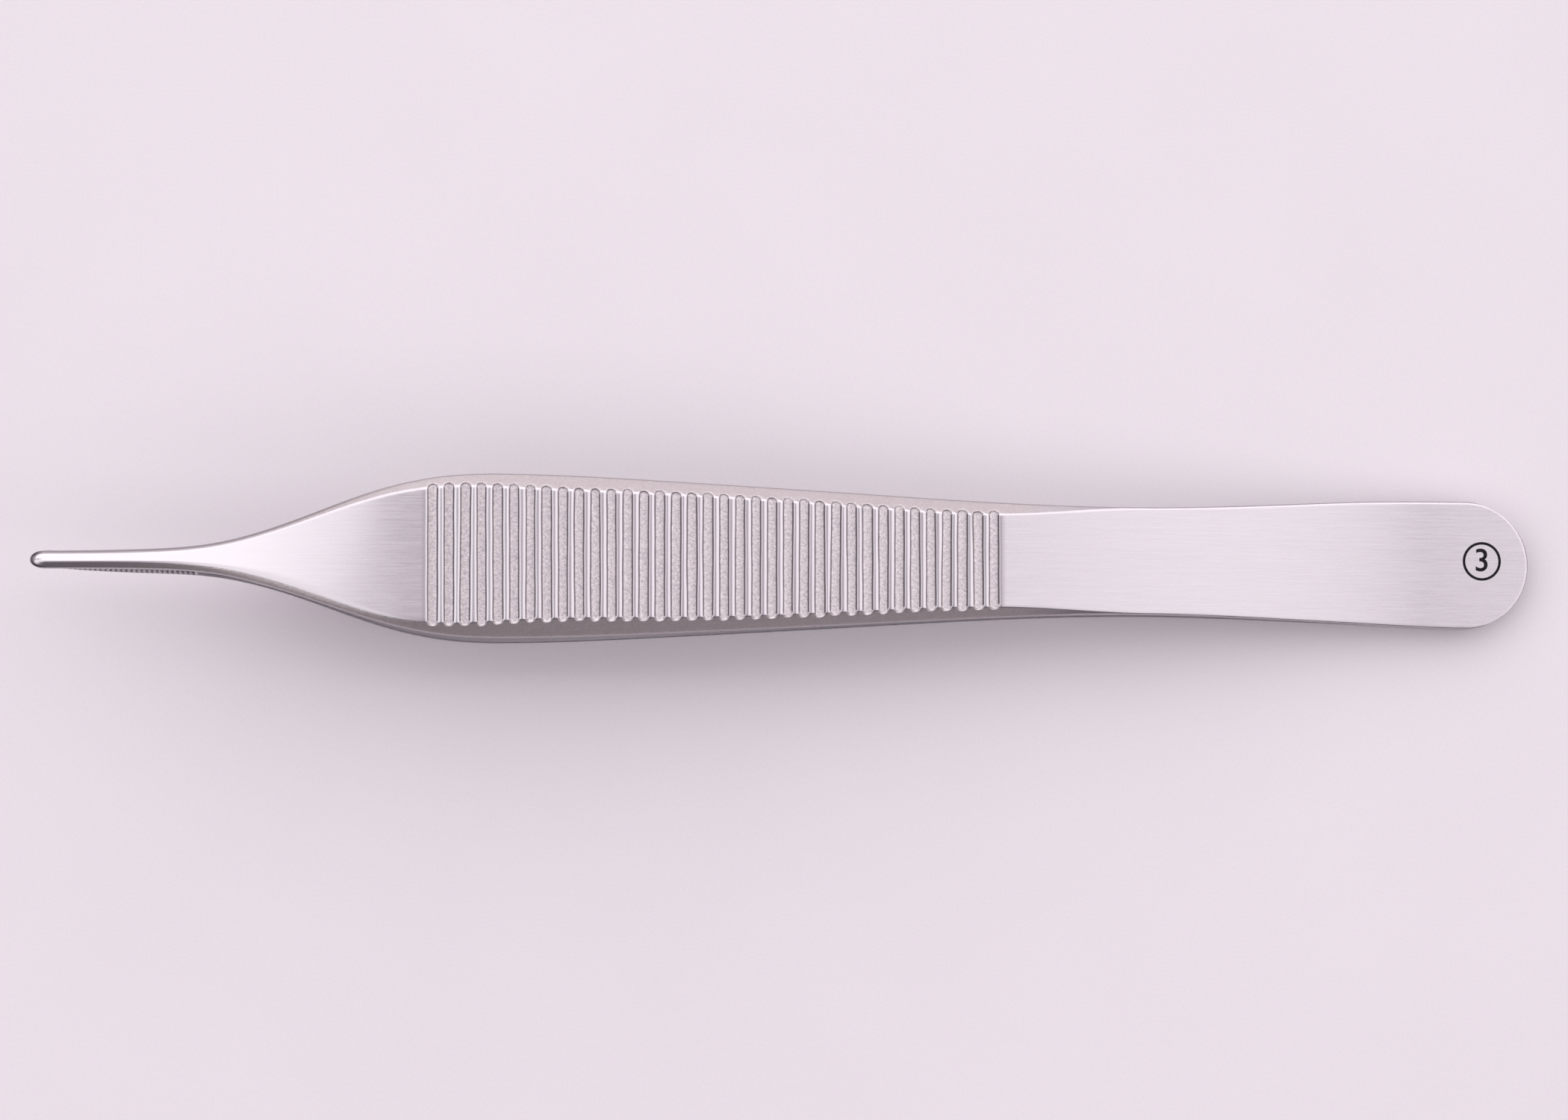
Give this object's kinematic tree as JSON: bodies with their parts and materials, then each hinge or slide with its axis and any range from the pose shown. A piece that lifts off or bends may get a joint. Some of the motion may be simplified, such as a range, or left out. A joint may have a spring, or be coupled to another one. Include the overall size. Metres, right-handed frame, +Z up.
{
  "type": "thumb forceps",
  "caption": "Slim-nosed steel thumb forceps: two ribbed spring arms welded at the heel, with fine serrated tips, lying on one arm.",
  "frame": {"origin": "centre of the whole part's footprint, on the surface it lies on", "axes": "+Z up; +X from the tips to the welded heel; +Y across the arms"},
  "size_m": [0.12, 0.0128, 0.016],
  "materials": {
    "satin_steel": "satin stainless steel, brushed lengthwise on the faces, fine matt grain in the grip grooves and on the bevels"
  },
  "bodies": {
    "root": {"upper_arm": "satin_steel", "lower_arm": "satin_steel"}
  },
  "joints": []
}
